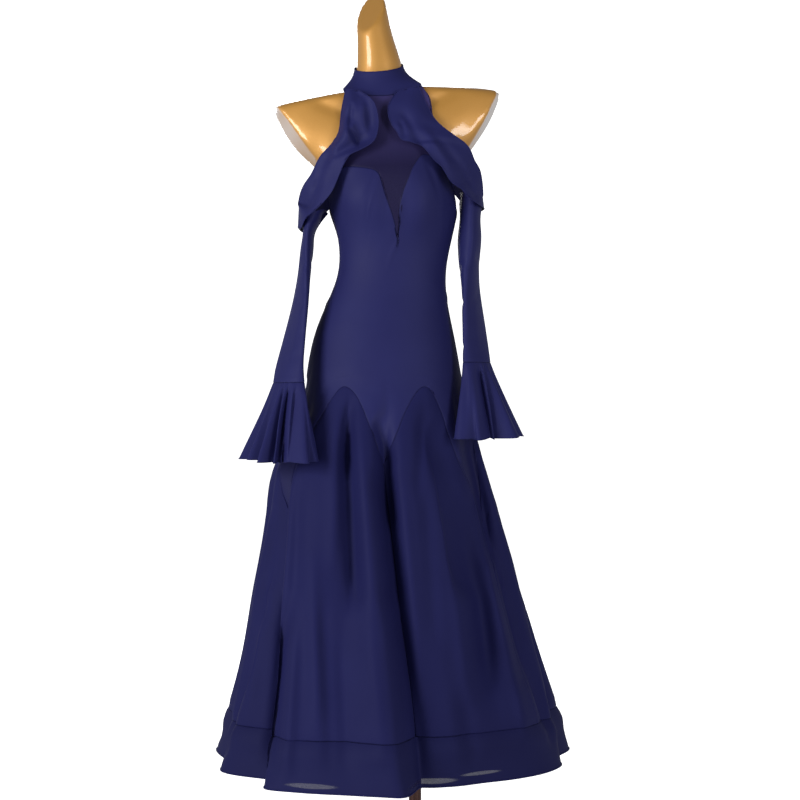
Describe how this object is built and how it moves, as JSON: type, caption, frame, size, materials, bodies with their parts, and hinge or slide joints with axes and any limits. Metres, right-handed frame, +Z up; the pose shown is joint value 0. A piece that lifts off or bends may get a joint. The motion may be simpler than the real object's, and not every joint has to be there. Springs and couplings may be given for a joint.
{
  "type": "ballroom dance dress on a limbless dress form",
  "caption": "Long-sleeved ballroom dance dress with a gored flared skirt, cold-shoulder ruffles and flounced cuffs, on a limbless dress form and stand.",
  "frame": {"origin": "centre of the base plate's underside, under the pole's axis", "axes": "+Z up along the pole, -Y out of the dress's front, +X to the viewer's right as seen from the front (the wearer's left)"},
  "size_m": [0.718, 0.7064, 1.6945],
  "materials": {
    "crepe": "matt navy stretch crepe",
    "georgette": "matt navy georgette",
    "hem_georgette": "navy georgette with a stiff braid at the hem",
    "lining": "plain matt navy lining",
    "net": "fine sheer stretch net",
    "gold": "glossy gold lacquer",
    "bronze": "dark bronze"
  },
  "bodies": {
    "root": {"base": "bronze", "pole": "bronze", "form_body": "gold", "collar": "crepe", "yoke_front": "net", "bodice_front": "crepe", "bodice_back": "crepe", "gore_1": "georgette", "gore_2": "georgette", "gore_3": "georgette", "gore_4": "georgette", "gore_5": "georgette", "gore_6": "georgette", "hem_band": "hem_georgette", "underskirt": "lining", "sleeve_left": "crepe", "sleeve_right": "crepe", "cuff_left": "georgette", "cuff_right": "georgette", "ruffle_left": "crepe", "ruffle_right": "crepe"}
  },
  "joints": []
}
